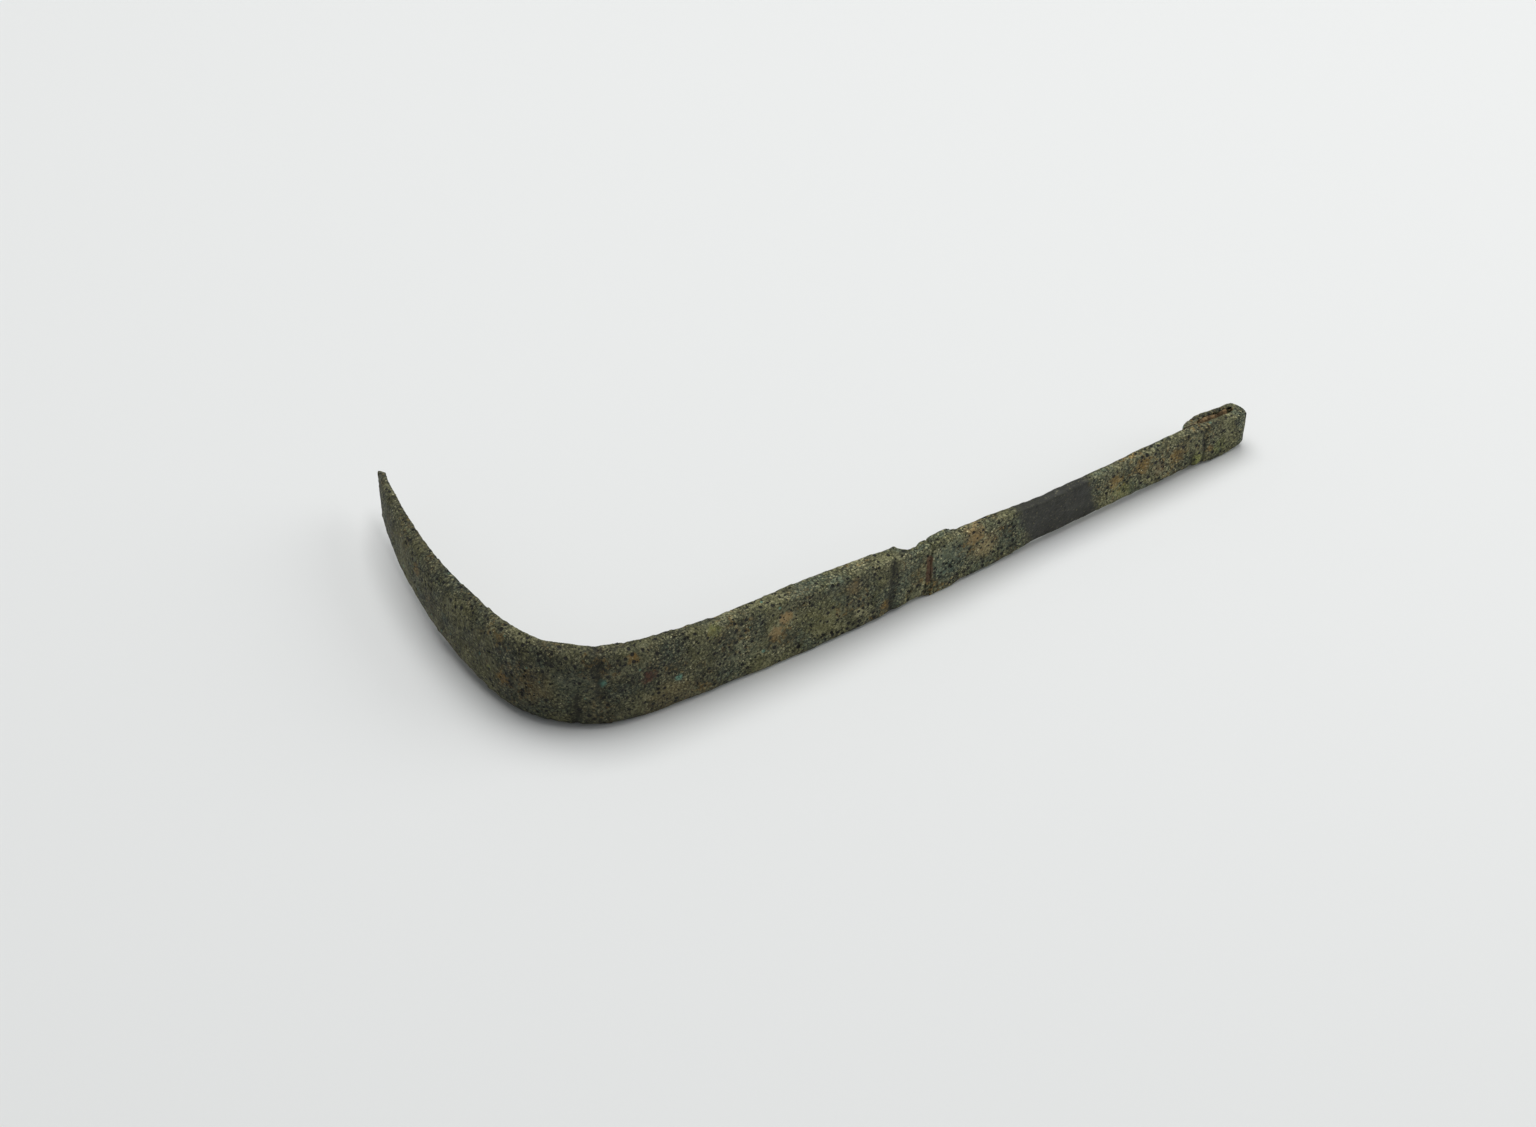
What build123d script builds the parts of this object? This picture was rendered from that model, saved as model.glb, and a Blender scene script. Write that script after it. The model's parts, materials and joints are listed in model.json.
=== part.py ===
from build123d import *
import os
from math import degrees

os.makedirs("parts", exist_ok=True)

# A Roman strigil, a curved bronze skin scraper, lying on its side as on a table.
# Lengths are in millimetres and angles in degrees.
# Every piece is first drawn flat: X runs along the handle to the eye, which ends at X = 0,
# Y points to the hollow side of the hook, and Z is across the strip, whose middle is at Z = 0.
# At the end all the pieces are laid down together on the strigil's lower edge.

# Handle strip: swollen into a socket at the blade, folded back as an eye at the other end
handle_length = 92.4
strip_thickness = 2.7
grip_height = 10.7
grip_rise = 1.1
eye_height = 10.8
eye_end_length = 18.2
flare_height = 12.7
flare_length = 24.4
flare_swell = 1.3
collar_height = 15.4
collar_length = 6.0
collar_step = 2.8
collar_proud_outside = 0.2
collar_proud_inside = 0.5
socket_drop = 0.3
end_bevel_length = 5.5
end_bevel_height = 1.7
edge_round = 0.4

# Folded eye: the strip turns round its end, and its leg comes back along the inner side
fold_thickness = 2.4
fold_radius = 3.2
slot_length = 10.6
slot_width = 1.6
leg_thickness = 1.4
leg_slope_length = 4.5
foot_length = 3.6
foot_lean = 0.5
foot_toe = 1.0
lap_gap = 0.15

# Neck and tang of the blade, and the socket round the tang
neck_length = 6.4
neck_end_height = 14.5
neck_waist_height = 13.8
neck_thickness = 2.7
neck_setback = 0.25
neck_ramp_length = 2.0
tang_length = 15.0
tang_root_height = 9.0
tang_end_height = 6.0
tang_thickness = 1.5
solder_clearance = 0.2
solder_seam = 0.8
solder_sink = 0.2

# Line of the blade's back, four arcs in a row: root run, bend, arm and tip curl
root_run_length = 67.9
root_run_radius = 700.0
bend_length = 38.2
bend_radius = 28.0
arm_length = 68.3
arm_radius = 127.0
tip_curl_length = 6.8
tip_curl_radius = 17.0

# Blade sections at shares of that line: share, width, depth of the sides,
# and how far the rounded corner reaches across the back and down the side
blade_keys = [
    (0.00, 14.8, 4.9, 0.7, 0.7),
    (0.14, 17.4, 4.9, 0.9, 0.8),
    (0.29, 19.2, 3.6, 2.6, 1.6),
    (0.42, 21.2, 4.4, 5.6, 3.0),
    (0.53, 21.4, 4.7, 7.4, 3.6),
    (0.65, 19.4, 4.6, 7.4, 3.6),
    (0.78, 15.7, 4.0, 6.2, 3.0),
    (0.88, 13.2, 2.9, 5.0, 2.2),
    (0.95, 8.4, 1.8, 3.2, 1.3),
    (1.00, 1.8, 0.8, 0.6, 0.4),
]
blade_section_count = 22

# Flat facets that make each rounded corner of the blade and of its trough
corner_facets = 8

# Trough in the hollow side of the blade
wall_thickness = 1.2
trough_start = 9.0
trough_end_margin = 6.0
trough_run_out = 12.0
trough_section_count = 20
cutter_rise = 0.3
cutter_top = 1.0

# Earth packed in the eye, sunk a little below the faces of the handle
deposit_sink = 0.5

# Depth of the flats worn on the lowest edges, where the strigil lies, and the two places
# on the lower rim of the blade that carry it, as shares of the blade's line
rest_wear = 0.15
rest_shares = (0.34, 0.5)

mouth_x = -handle_length
neck_end_x = mouth_x - solder_seam
shoulder_x = neck_end_x - neck_length
tang_end_x = mouth_x + tang_length
collar_x = mouth_x + collar_length
flare_x = collar_x + collar_step
slot_end_x = -fold_thickness
slot_start_x = slot_end_x - slot_length
foot_x = slot_start_x - foot_length
leg_slope_x = slot_start_x + leg_slope_length
grip_x = flare_x + flare_length
grip_end_x = -eye_end_length
loop_thickness = strip_thickness + slot_width + leg_thickness
collar_outside_y = -collar_proud_outside
collar_inside_y = strip_thickness + collar_proud_inside
socket_middle_y = (collar_outside_y + collar_inside_y) / 2


def turn(length, radius):
    """Angle of an arc of this length and radius."""
    return degrees(length / radius)


def hermite(t, span, start, end, start_slope, end_slope):
    """Value on the cubic that joins two values with the given slopes."""
    rest = 1 - t
    ends = (1 + 2 * t) * rest**2 * start + t**2 * (3 - 2 * t) * end
    leans = t * rest**2 * start_slope - t**2 * rest * end_slope
    return ends + span * leans


def key_slopes(places, values):
    """Slopes at the keys that keep the curve between them from overshooting."""
    rises = [
        (values[i + 1] - values[i]) / (places[i + 1] - places[i]) for i in range(len(places) - 1)
    ]
    slopes = [rises[0]]
    for before, after in zip(rises, rises[1:]):
        same_way = before * after > 0
        slopes.append(2 * before * after / (before + after) if same_way else 0.0)
    return slopes + [rises[-1]]


def blade_size(share, column):
    """Size in one column of blade_keys, at a share of the blade's line."""
    places = [key[0] for key in blade_keys]
    values = [key[column] for key in blade_keys]
    slopes = key_slopes(places, values)
    i = max(k for k in range(len(places) - 1) if places[k] <= share)
    span = places[i + 1] - places[i]
    t = (share - places[i]) / span
    return hermite(t, span, values[i], values[i + 1], slopes[i], slopes[i + 1])


def smooth_step(t):
    """Ease from 0 to 1."""
    t = min(max(t, 0.0), 1.0)
    return t * t * (3 - 2 * t)


def draw_section(width, back_y, rim_y, corner_across, corner_down):
    """Draw the closed outline across the blade, its corners at the back rounded by facets."""
    half = width / 2
    steps = [index / corner_facets for index in range(corner_facets + 1)]
    corner = [(half - corner_across * (1 - t) ** 2, back_y + corner_down * t**2) for t in steps]
    other_corner = [(-x, y) for x, y in reversed(corner)]
    Polyline(*corner, (half, rim_y), (-half, rim_y), *other_corner, close=True)


def middle_line(middle_z, height):
    """Top and bottom of a strip of this height about its middle line."""
    return middle_z + height / 2, middle_z - height / 2


def draw_tapered(start_x, end_x, start_height, end_height):
    """Draw a closed bar outline whose height tapers from start to end."""
    Polyline(
        (start_x, -start_height / 2),
        (end_x, -end_height / 2),
        (end_x, end_height / 2),
        (start_x, start_height / 2),
        close=True,
    )


# Line of the blade's back
with BuildLine() as back_line:
    root_run = JernArc(
        (shoulder_x, 0), (-1, 0), root_run_radius, -turn(root_run_length, root_run_radius)
    )
    bend = JernArc(root_run @ 1, root_run % 1, bend_radius, -turn(bend_length, bend_radius))
    arm = JernArc(bend @ 1, bend % 1, arm_radius, -turn(arm_length, arm_radius))
    tip_curl = JernArc(
        arm @ 1, arm % 1, tip_curl_radius, -turn(tip_curl_length, tip_curl_radius)
    )
back = back_line.wires()[0]


def section_plane(share):
    """Plane across the blade, its X along the width and its Y to the hollow side."""
    return Plane(origin=back @ share, x_dir=(0, 0, 1), z_dir=back % share)


def low_rim(share):
    """Lower corner of the blade's rim, at a share of the blade's line."""
    width, depth = blade_size(share, 1), blade_size(share, 2)
    return section_plane(share).from_local_coords((-width / 2, depth, 0))


def socket_plane(y):
    """Plane parallel to the strip at a depth y, seen from outside, on the socket's middle line."""
    return Plane(origin=(0, y, -socket_drop), x_dir=(1, 0, 0), z_dir=(0, -1, 0))


def draw_tang(clearance):
    """Draw the tang's outline seen from the side, enlarged by a clearance all round."""
    draw_tapered(
        neck_end_x,
        tang_end_x + clearance,
        tang_root_height + 2 * clearance,
        tang_end_height + 2 * clearance,
    )


# Neck of the blade: its waisted outline from the side crossed with its outline from above,
# where the hollow side runs down to the neck in a ramp
with BuildPart() as neck:
    with BuildSketch(socket_plane(0)):
        with BuildLine():
            waist = ThreePointArc(
                (shoulder_x, neck_end_height / 2),
                ((shoulder_x + neck_end_x) / 2, neck_waist_height / 2),
                (neck_end_x, neck_end_height / 2),
            )
            mirror(waist, about=Plane.XZ)
            Line((shoulder_x, -neck_end_height / 2), (shoulder_x, neck_end_height / 2))
            Line((neck_end_x, -neck_end_height / 2), (neck_end_x, neck_end_height / 2))
        make_face()
    extrude(amount=-blade_size(0, 2))

    with BuildSketch(Plane.XY):
        with BuildLine():
            Polyline(
                (shoulder_x, neck_setback),
                (neck_end_x, neck_setback),
                (neck_end_x, neck_setback + neck_thickness),
                (shoulder_x + neck_ramp_length, neck_setback + neck_thickness),
                (shoulder_x, blade_size(0, 2)),
                close=True,
            )
        make_face()
    extrude(amount=collar_height, both=True, mode=Mode.INTERSECT)

# Blade: lofted body, trough, neck and tapered tang
with BuildPart() as blade:
    for index in range(blade_section_count + 1):
        share = index / blade_section_count
        width, depth, across, down = [blade_size(share, column) for column in (1, 2, 3, 4)]
        with BuildSketch(section_plane(share)):
            with BuildLine():
                draw_section(width, 0, depth, across, down)
            make_face()
    loft()

    trough_end = back.length - trough_end_margin
    for index in range(trough_section_count + 1):
        along = trough_start + (trough_end - trough_start) * index / trough_section_count
        share = along / back.length
        width, depth, across, down = [blade_size(share, column) for column in (1, 2, 3, 4)]
        outside_y = depth + cutter_rise
        run = min(along - trough_start, trough_end - along) / trough_run_out
        floor_y = outside_y + (wall_thickness - outside_y) * smooth_step(run)
        top_y = depth + cutter_top
        trough_width = width - 2 * wall_thickness
        across *= trough_width / width
        down = min(down, (top_y - floor_y) / 2)
        with BuildSketch(section_plane(share)):
            with BuildLine():
                draw_section(trough_width, floor_y, top_y, across, down)
            make_face()
    loft(mode=Mode.SUBTRACT)

    add(neck.part)

    with BuildSketch(socket_plane(socket_middle_y)):
        with BuildLine():
            draw_tang(0)
        make_face()
    extrude(amount=tang_thickness / 2, both=True)

# Outline of the slot in the folded eye, seen along its hole
with BuildSketch() as slot_outline:
    with BuildLine():
        slot_side = Line(
            (slot_start_x, strip_thickness), (slot_end_x - slot_width / 2, strip_thickness)
        )
        slot_end = JernArc(slot_side @ 1, slot_side % 1, slot_width / 2, 180)
        Polyline(
            slot_end @ 1,
            (leg_slope_x, strip_thickness + slot_width),
            (slot_start_x, strip_thickness + lap_gap),
            (slot_start_x, strip_thickness),
        )
    make_face()

# Gap between the strip and the foot of the leg that is lapped on it
with BuildSketch() as lap_outline:
    with BuildLine():
        Polyline(
            (foot_x, strip_thickness),
            (slot_start_x, strip_thickness),
            (slot_start_x, strip_thickness + lap_gap),
            (foot_x, strip_thickness + lap_gap),
            close=True,
        )
    make_face()

# Outline of the handle from the side
with BuildSketch() as side_outline:
    collar_top, collar_bottom = middle_line(-socket_drop, collar_height)
    flare_top, flare_bottom = middle_line(-socket_drop, flare_height)
    grip_top, grip_bottom = middle_line(0, grip_height)
    grip_end_top, grip_end_bottom = middle_line(grip_rise, grip_height)
    eye_top, eye_bottom = middle_line(0, eye_height)
    flare_third = flare_length / 3
    with BuildLine():
        Polyline(
            (flare_x, flare_bottom),
            (collar_x, collar_bottom),
            (mouth_x, collar_bottom),
            (mouth_x, collar_top),
            (collar_x, collar_top),
            (flare_x, flare_top),
        )
        Bezier(
            (flare_x, flare_top),
            (flare_x + flare_third, flare_top + flare_swell),
            (grip_x - flare_third, grip_top),
            (grip_x, grip_top),
        )
        Polyline(
            (grip_x, grip_top),
            (grip_end_x, grip_end_top),
            (-end_bevel_length, eye_top),
            (0, eye_top - edge_round),
            (0, eye_bottom + end_bevel_height),
            (-end_bevel_length, eye_bottom),
            (grip_end_x, grip_end_bottom),
            (grip_x, grip_bottom),
        )
        Bezier(
            (grip_x, grip_bottom),
            (grip_x - flare_third, grip_bottom),
            (flare_x + flare_third, flare_bottom - flare_swell),
            (flare_x, flare_bottom),
        )
    make_face()

# Handle: its outline from above crossed with its outline from the side
with BuildPart() as handle:
    with BuildSketch(Plane.XY):
        with BuildLine():
            Polyline(
                (foot_x, strip_thickness),
                (flare_x, strip_thickness),
                (collar_x, collar_inside_y),
                (mouth_x, collar_inside_y),
                (mouth_x, collar_outside_y),
                (collar_x, collar_outside_y),
                (flare_x, 0),
                (0, 0),
                (0, loop_thickness - fold_radius),
            )
            fold = JernArc((0, loop_thickness - fold_radius), (0, 1), fold_radius, 90)
            Line(fold @ 1, (leg_slope_x, loop_thickness))
            Bezier(
                (leg_slope_x, loop_thickness),
                (slot_start_x, loop_thickness),
                (foot_x + foot_lean, strip_thickness + lap_gap + foot_toe),
            )
            Line(
                (foot_x + foot_lean, strip_thickness + lap_gap + foot_toe),
                (foot_x, strip_thickness),
            )
        make_face()
    extrude(amount=collar_height, both=True)

    with BuildSketch(Plane.XZ):
        add(side_outline.sketch)
    extrude(amount=collar_height, both=True, mode=Mode.INTERSECT)

    with BuildSketch(Plane.XY):
        add(slot_outline.sketch)
        add(lap_outline.sketch)
    extrude(amount=collar_height, both=True, mode=Mode.SUBTRACT)

    with BuildSketch(socket_plane(socket_middle_y)):
        with BuildLine():
            draw_tang(solder_clearance)
        make_face()
    extrude(amount=tang_thickness / 2 + solder_clearance, both=True, mode=Mode.SUBTRACT)

# Solder: the seam between neck and collar, and the sleeve round the tang
with BuildPart() as socket_solder:
    with BuildSketch(socket_plane(socket_middle_y)):
        with BuildLine():
            draw_tang(solder_clearance)
        make_face()
    extrude(amount=tang_thickness / 2 + solder_clearance, both=True)

    with BuildSketch(Plane.YZ.offset(neck_end_x)):
        with Locations((neck_setback + neck_thickness / 2, -socket_drop)):
            Rectangle(neck_thickness - 2 * solder_sink, neck_end_height - 2 * solder_sink)
    extrude(amount=solder_seam)
    add(blade.part, mode=Mode.SUBTRACT)

# Solder that holds the foot of the leg down on the strip
with BuildPart() as eye_solder:
    with BuildSketch(Plane.XY):
        add(lap_outline.sketch)
    extrude(amount=collar_height, both=True)

    with BuildSketch(Plane.XZ):
        add(side_outline.sketch)
    extrude(amount=collar_height, both=True, mode=Mode.INTERSECT)

# Earth and corrosion packed in the slot of the eye
with BuildPart() as eye_deposit:
    with BuildSketch(Plane.XY):
        add(slot_outline.sketch)
    extrude(amount=collar_height, both=True)

    with BuildSketch(Plane.XZ):
        with BuildLine():
            Polyline(
                (grip_end_x, grip_end_top - deposit_sink),
                (-end_bevel_length, eye_top - deposit_sink),
                (0, eye_top - deposit_sink),
                (0, eye_bottom + end_bevel_height + deposit_sink),
                (-end_bevel_length, eye_bottom + deposit_sink),
                (grip_end_x, grip_end_bottom + deposit_sink),
                close=True,
            )
        make_face()
    extrude(amount=collar_height, both=True, mode=Mode.INTERSECT)

# Plane that the strigil lies on: it touches the rim on both sides of the bend, and the eye
eye_corner = Vector(-end_bevel_length, loop_thickness, -eye_height / 2)
to_rim_before = low_rim(rest_shares[0]) - eye_corner
to_rim_after = low_rim(rest_shares[1]) - eye_corner
up = to_rim_after.cross(to_rim_before).normalized()
table = Plane(origin=eye_corner, x_dir=Vector(1, 0, 0) - up * up.X, z_dir=up)

pieces = {
    "blade": blade,
    "handle": handle,
    "socket_solder": socket_solder,
    "eye_solder": eye_solder,
    "eye_deposit": eye_deposit,
}

# Wear the lowest edges flat, and lay the pieces down
for piece in (blade, handle):
    with piece:
        split(bisect_by=table.offset(rest_wear), keep=Keep.TOP)
for piece in pieces.values():
    piece.part = table.to_local_coords(piece.part)

# Origin under the middle of the whole strigil
whole = Compound([piece.part for piece in pieces.values()]).bounding_box()
middle = whole.center()
to_origin = Location((-middle.X, -middle.Y, -whole.min.Z))
for name, piece in pieces.items():
    piece.part = piece.part.moved(to_origin)
    piece.part.label = name
    export_step(piece.part, f"parts/{name}.step")
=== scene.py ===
import json
from collections import namedtuple
from itertools import product
from math import cos, radians, sin

import bmesh
import bpy
import numpy as np
from mathutils import Matrix, Vector


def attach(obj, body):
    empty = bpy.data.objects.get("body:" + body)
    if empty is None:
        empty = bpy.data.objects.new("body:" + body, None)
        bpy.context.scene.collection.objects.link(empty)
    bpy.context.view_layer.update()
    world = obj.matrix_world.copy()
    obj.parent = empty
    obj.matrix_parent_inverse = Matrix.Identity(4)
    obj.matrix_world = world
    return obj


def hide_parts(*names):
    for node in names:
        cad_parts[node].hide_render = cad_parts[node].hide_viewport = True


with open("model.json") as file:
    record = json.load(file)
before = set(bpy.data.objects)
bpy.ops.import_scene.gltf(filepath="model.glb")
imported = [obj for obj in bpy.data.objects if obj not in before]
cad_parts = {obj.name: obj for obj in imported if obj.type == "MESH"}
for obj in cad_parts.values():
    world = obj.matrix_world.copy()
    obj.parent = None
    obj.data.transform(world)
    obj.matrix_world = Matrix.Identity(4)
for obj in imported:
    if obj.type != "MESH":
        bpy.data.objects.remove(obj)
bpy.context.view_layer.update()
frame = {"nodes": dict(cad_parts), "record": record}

# A Roman strigil, corroded all over, lying on pale paper under soft light.
# Objects are in metres. Shapes and stains are worked out in millimetres on the strigil's
# own axes: along the handle to the eye, which ends at 0, inward to the hollow side of the
# hook, and across the strip to its upper edge.
MM = 0.001
COLLAR_TOP = 7.4

mounts = {mount["name"]: mount for mount in frame["record"]["mounts"]}
across_axis = Vector(mounts["eye"]["axis"]).normalized()
inward_axis = -Vector(mounts["handle_back"]["axis"]).normalized()
along_axis = inward_axis.cross(across_axis).normalized()
own_axes = np.array([along_axis, inward_axis, across_axis])
handle_points = [vertex.co for vertex in frame["nodes"]["handle"].data.vertices]
own_origin = np.array(
    [
        max(point.dot(along_axis) for point in handle_points),
        Vector(mounts["handle_back"]["pos_m"]).dot(inward_axis),
        max(point.dot(across_axis) for point in handle_points) - COLLAR_TOP * MM,
    ]
)
ALONG = np.array([1.0, 0.0, 0.0])
ACROSS = np.array([0.0, 0.0, 1.0])


def to_own(points):
    """Points of the frame, in metres, as millimetres along, inward and across."""
    return (points @ own_axes.T - own_origin) / MM


def to_frame(own):
    """Points in millimetres on the strigil's own axes, as points of the frame in metres."""
    return (np.asarray(own) * MM + own_origin) @ own_axes


# The line of the blade's back: lengths and radii of its arcs from the shoulder to the tip
SHOULDER = -99.6
BACK_ARCS = ((67.9, 700.0), (38.2, 28.0), (68.3, 127.0), (6.8, 17.0))
BACK_LENGTH = sum(length for length, _ in BACK_ARCS)
RIM_DEPTH = 4.5
RIM_HEIGHT = 10.5


def back_line(share):
    """Place, direction and hollow side of the blade's back, at a share of its length."""
    place = np.array([SHOULDER, 0.0])
    heading = np.pi
    left = share * BACK_LENGTH
    for length, radius in BACK_ARCS:
        run = min(left, length)
        turned = heading - run / radius
        place = place + radius * np.array(
            [np.sin(heading) - np.sin(turned), np.cos(turned) - np.cos(heading)]
        )
        heading = turned
        left -= run
    direction = np.array([np.cos(heading), np.sin(heading)])
    return place, direction, np.array([direction[1], -direction[0]])


def on_back(share, across):
    """Own coordinates of a point on the blade's back."""
    place, _, _ = back_line(share)
    return np.array([*place, across])


def on_rim(share, side):
    """Own coordinates of a point on the upper (1) or lower (-1) rim of the blade."""
    place, _, hollow = back_line(share)
    return np.array([*(place + RIM_DEPTH * hollow), side * RIM_HEIGHT])


# Repeatable noise: odd numbers that scramble a cell's place and a seed into one number
CELL_FACTORS = (0x8DA6B343, 0xD8163841, 0xCB1AB31F)
SEED_FACTOR = 0x9E3779B1
FIRST_FACTOR = 0x2C1B3C6D
LAST_FACTOR = 0x297A2D39
LARGEST_WORD = 0xFFFFFFFF
WORDS = 2.0**32


def lattice_random(cells, seed):
    """A repeatable random number from 0 to 1 for each whole-number cell."""
    mixed = np.full(len(cells), (seed * SEED_FACTOR) & LARGEST_WORD, np.uint32)
    for column, factor in enumerate(CELL_FACTORS):
        mixed ^= cells[:, column].astype(np.int64).astype(np.uint32) * np.uint32(factor)
        mixed ^= mixed >> np.uint32(15)
        mixed *= np.uint32(FIRST_FACTOR)
    mixed ^= mixed >> np.uint32(12)
    mixed *= np.uint32(LAST_FACTOR)
    mixed ^= mixed >> np.uint32(15)
    return mixed / WORDS


def noise(points, size, seed):
    """Smooth noise from -1 to 1 in lumps of about this size."""
    scaled = points / size
    cell = np.floor(scaled)
    t = scaled - cell
    t = t * t * (3 - 2 * t)
    total = np.zeros(len(points))
    for corner in product((0, 1), repeat=3):
        weight = np.prod(np.where(corner, t, 1 - t), axis=1)
        total += weight * lattice_random(cell + corner, seed)
    return 2 * total - 1


def layered_noise(points, size, seed, layers):
    """Noise with finer layers on it, each half as large and half as strong."""
    total = np.zeros(len(points))
    for layer in range(layers):
        total += noise(points, size / 2**layer, seed + layer) / 2**layer
    return total


def spots(points, spacing, smallest, largest, share, seed):
    """How deep each point lies in a random spot, from 0 at its rim to 1 at its centre."""
    scaled = points / spacing
    cell = np.floor(scaled)
    deepest = np.zeros(len(points))
    for step in product((-1, 0, 1), repeat=3):
        home = cell + step
        centre = home + np.stack([lattice_random(home, seed + k) for k in range(3)], axis=1)
        radius = smallest + (largest - smallest) * lattice_random(home, seed + 3)
        kept = lattice_random(home, seed + 4) < share
        distance = np.linalg.norm(scaled - centre, axis=1) * spacing
        depth = np.where(kept, np.clip(1 - distance / radius, 0, 1), 0)
        deepest = np.maximum(deepest, depth)
    return deepest


def ease(value, low, high):
    """Smooth step from 0 at low to 1 at high."""
    t = np.clip((value - low) / (high - low), 0, 1)
    return t * t * (3 - 2 * t)


def ridge(distance, half_width):
    """Smooth bump of height 1 that fades away from distance 0."""
    return np.exp(-((distance / half_width) ** 2))


# A groove or a swelling across the strip: its place along it, half its width, and its height
Band = namedtuple("Band", "place half_width height")


def in_band(along, band, wander=0.0):
    """Share of a band at each place along the strip, 1 on its middle line."""
    return ridge(along - band.place + wander, band.half_width)


# Meshes: an even, softened copy of a solid, whose vertices are then moved
METAL_VOXEL = 0.34 * MM
METAL_ROUNDING = 4
FILLING_VOXEL = 0.2 * MM
FILLING_ROUNDING = 1
SMOOTHING = 0.5


def solid_copy(node, voxel, rounding):
    """Even, softened copy of a node's mesh, as a new object."""
    source = frame["nodes"][node]
    rough = bpy.data.objects.new(node + "_rough", source.data.copy())
    bpy.context.scene.collection.objects.link(rough)
    remesh = rough.modifiers.new("remesh", "REMESH")
    remesh.mode = "VOXEL"
    remesh.voxel_size = voxel
    soften = rough.modifiers.new("soften", "SMOOTH")
    soften.factor = SMOOTHING
    soften.iterations = rounding
    shaped = rough.evaluated_get(bpy.context.evaluated_depsgraph_get())
    mesh = bpy.data.meshes.new_from_object(shaped)
    bpy.data.objects.remove(rough)
    piece = bpy.data.objects.new(node + "_surface", mesh)
    bpy.context.scene.collection.objects.link(piece)
    for polygon in mesh.polygons:
        polygon.use_smooth = True
    return piece


def vertex_arrays(mesh):
    """Places and normals of a mesh's vertices."""
    places = np.empty(len(mesh.vertices) * 3)
    normals = np.empty(len(mesh.vertices) * 3)
    mesh.vertices.foreach_get("co", places)
    mesh.vertices.foreach_get("normal", normals)
    return places.reshape(-1, 3), normals.reshape(-1, 3)


def own_places(piece):
    """Places of a piece's vertices, in millimetres on the strigil's own axes."""
    places, _ = vertex_arrays(piece.data)
    return to_own(places)


def shift(piece, moves):
    """Move each vertex by millimetres on the strigil's own axes."""
    places, _ = vertex_arrays(piece.data)
    piece.data.vertices.foreach_set("co", (places + moves * MM @ own_axes).ravel())
    piece.data.update()


def round_off(piece, chosen, steps):
    """Even out the chosen vertices with their neighbours."""
    mesh = bmesh.new()
    mesh.from_mesh(piece.data)
    corners = [corner for corner in mesh.verts if chosen[corner.index]]
    every_axis = {"use_axis_x": True, "use_axis_y": True, "use_axis_z": True}
    for _ in range(steps):
        bmesh.ops.smooth_vert(mesh, verts=corners, factor=SMOOTHING, **every_axis)
    mesh.to_mesh(piece.data)
    mesh.free()
    piece.data.update()


def displace(piece, heights, **marks):
    """Move each vertex along its normal, by millimetres, but not below the floor, and keep
    the marks for its material."""
    mesh = piece.data
    places, normals = vertex_arrays(mesh)
    moved = places + normals * heights[:, None] * MM
    moved[:, 2] = np.maximum(moved[:, 2], 0)
    mesh.vertices.foreach_set("co", moved.ravel())
    for name, values in marks.items():
        attribute = mesh.attributes.new(name, "FLOAT", "POINT")
        attribute.data.foreach_set("value", values.astype(np.float32))
    mesh.update()


# Corroded surface of the metal, in millimetres
SWELL_HEIGHT = 0.13
LUMP_HEIGHT = 0.10
GRAIN_HEIGHT = 0.07
WART_HEIGHT = 0.16
LARGE_PIT_DEPTH = 0.32
SMALL_PIT_DEPTH = 0.24


def corroded(own):
    """Height of the corroded surface above the sound metal, in millimetres, and its pits."""
    crowd = ease(layered_noise(own, size=9.0, seed=11, layers=2), -0.35, 0.55)
    large = spots(own, spacing=3.4, smallest=0.5, largest=1.0, share=0.45, seed=21)
    small = spots(own, spacing=1.5, smallest=0.3, largest=0.62, share=0.5, seed=31)
    warts = spots(own, spacing=2.6, smallest=0.5, largest=0.95, share=0.35, seed=41)
    large_pits = ease(large * (0.35 + 0.65 * crowd), 0.0, 0.7)
    small_pits = ease(small * (0.25 + 0.75 * crowd), 0.0, 0.6)
    height = SWELL_HEIGHT * noise(own, size=14.0, seed=51)
    height += LUMP_HEIGHT * layered_noise(own, size=4.5, seed=52, layers=2)
    height += GRAIN_HEIGHT * layered_noise(own, size=1.4, seed=53, layers=2)
    height += WART_HEIGHT * ease(warts, 0.0, 0.8)
    height -= LARGE_PIT_DEPTH * large_pits + SMALL_PIT_DEPTH * small_pits
    return height, np.maximum(large_pits, small_pits)


# Rust of the socket's seam, on the blade, the handle and the solder between them
SEAM = -92.8
SEAM_HALF_WIDTH = 0.9
SEAM_WANDER = 0.4
SEAM_MIDDLE = 0.5
SEAM_OFF_MIDDLE = (3.0, 5.0)


def off_middle(own):
    """Share from 0 on the middle of the seam to 1 near the long edges of the strip."""
    return ease(np.abs(own[:, 2] - SEAM_MIDDLE), *SEAM_OFF_MIDDLE)


def seam_rust(own):
    """Share of rust that has run out of the socket's seam."""
    distance = own[:, 0] - SEAM + SEAM_WANDER * noise(own, size=1.5, seed=65)
    return ridge(distance, SEAM_HALF_WIDTH) * (1 - off_middle(own))


# The blade's worn tip: lengths in millimetres from the end of the back line
TIP_LENGTH = 12.0
TIP_WEAR = 3.5
TIP_LEAN = 0.7
TIP_INSET = 0.9
TIP_CAP = 3.0
TIP_BLUNTNESS = 0.4
TIP_ROUNDING = 14
TIP_CRUST = 0.2
TIP_CRUST_SPAN = (-9.0, -5.0)


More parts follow.
